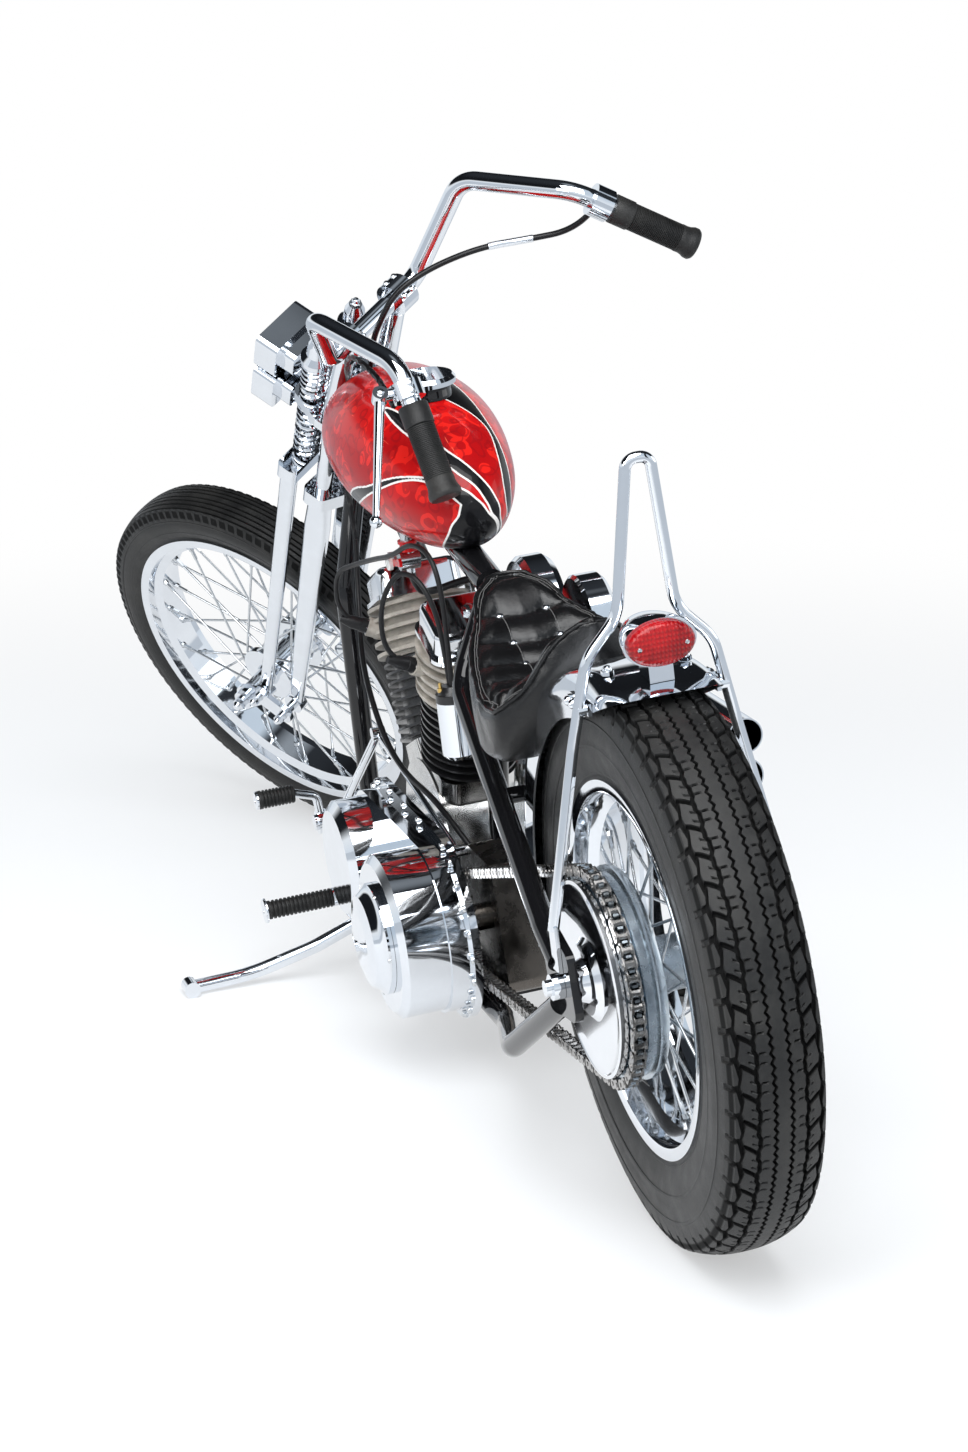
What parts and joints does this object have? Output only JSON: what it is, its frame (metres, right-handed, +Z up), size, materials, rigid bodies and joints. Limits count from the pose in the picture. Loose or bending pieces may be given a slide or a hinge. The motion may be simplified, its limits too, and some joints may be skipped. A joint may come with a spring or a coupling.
{
  "type": "chopper motorcycle",
  "caption": "Long rigid-frame motorcycle with a V-twin engine, springer fork, tall backrest bar and tufted seat, leaning on its side stand.",
  "frame": {"origin": "centre of the object's footprint box, on the ground", "axes": "+X forward, +Y to the rider's left, +Z up; the motorcycle leans to its left on its side stand with the front wheel turned left"},
  "size_m": [2.2897, 0.6802, 1.1022],
  "materials": {
    "chrome": "polished chrome plate",
    "polished_aluminium": "polished",
    "cable_rubber": "satin",
    "cast_heads": "as cast",
    "cast_barrels": "as cast, painted silver",
    "chain_steel": "oiled",
    "spring_chrome": "plated spring wire",
    "gloss_black": "gloss",
    "spoke_steel": "bright drawn steel",
    "tyre": "matt black rubber",
    "candy_red": "deep gloss over black",
    "satin_steel": "satin",
    "grip_rubber": "matt",
    "clear_glass": "clear",
    "brass": "plain",
    "black_leather": "semi-gloss, tufted",
    "red_lens": "clear red"
  },
  "bodies": {
    "frame": {"air_cleaner": "chrome", "brake_plate": "polished_aluminium", "cables": "cable_rubber", "carburettor": "cast_heads", "crankcase": "cast_heads", "cylinder_heads": "cast_heads", "cylinders": "cast_barrels", "derby_cover": "polished_aluminium", "drive_chain": "chain_steel", "engine_snout": "cast_heads", "exhaust_pipes": "chrome", "filler_cap": "chrome", "foot_controls": "polished_aluminium", "frame": "gloss_black", "fuel_tank": "candy_red", "gear_linkage": "chrome", "gearbox_sprocket": "satin_steel", "ignition_coil": "chrome", "kick_starter": "chrome", "oil_tank": "chrome", "peg_rubbers": "grip_rubber", "petcock": "brass", "primary_cover": "polished_aluminium", "pushrod_tubes": "chrome", "rear_axle": "chrome", "rear_fender": "chrome", "rocker_boxes": "polished_aluminium", "seat": "black_leather", "sissy_bar": "chrome", "tail_light_lens": "red_lens", "tail_light_shell": "polished_aluminium", "toe_pedals": "chrome", "transmission": "cast_heads"},
    "fork": {"clutch_lever": "polished_aluminium", "fork_front_legs": "chrome", "fork_perch": "chrome", "fork_rear_legs": "chrome", "fork_rockers": "chrome", "fork_springs": "spring_chrome", "front_axle": "chrome", "grips": "grip_rubber", "handlebar": "chrome", "headlight_bracket": "chrome", "headlight_lenses": "clear_glass", "headlights": "chrome", "risers": "chrome", "spring_caps": "chrome", "stem_nut": "chrome", "throttle": "polished_aluminium", "throttle_cable": "cable_rubber"},
    "front_wheel": {"front_hub": "chrome", "front_rim": "chrome", "front_spokes": "spoke_steel", "front_tyre": "tyre"},
    "rear_wheel": {"rear_hub": "satin_steel", "rear_rim": "chrome", "rear_spokes": "spoke_steel", "rear_tyre": "tyre"},
    "side_stand": {"side_stand": "chrome"}
  },
  "joints": [
    {"name": "steering", "type": "hinge", "parent": "frame", "child": "fork", "pos_m": [0.79792, -0.03285, 0.24252], "axis": [-0.6773, 0.0891, 0.7303], "range_deg": [-73, 0]},
    {"name": "front_wheel_spin", "type": "hinge", "parent": "fork", "child": "front_wheel", "pos_m": [0.85181, 0.02708, 0.28517], "axis": [-0.4383, 0.7484, -0.4978], "continuous": true},
    {"name": "rear_wheel_spin", "type": "hinge", "parent": "frame", "child": "rear_wheel", "pos_m": [-0.81487, -0.02356, 0.32861], "axis": [-0.0008, 0.9925, -0.1219], "continuous": true},
    {"name": "side_stand", "type": "hinge", "parent": "frame", "child": "side_stand", "pos_m": [0.15867, 0.05382, 0.09919], "axis": [-0.0897, 0.3917, 0.9157], "range_deg": [0, 72]}
  ]
}
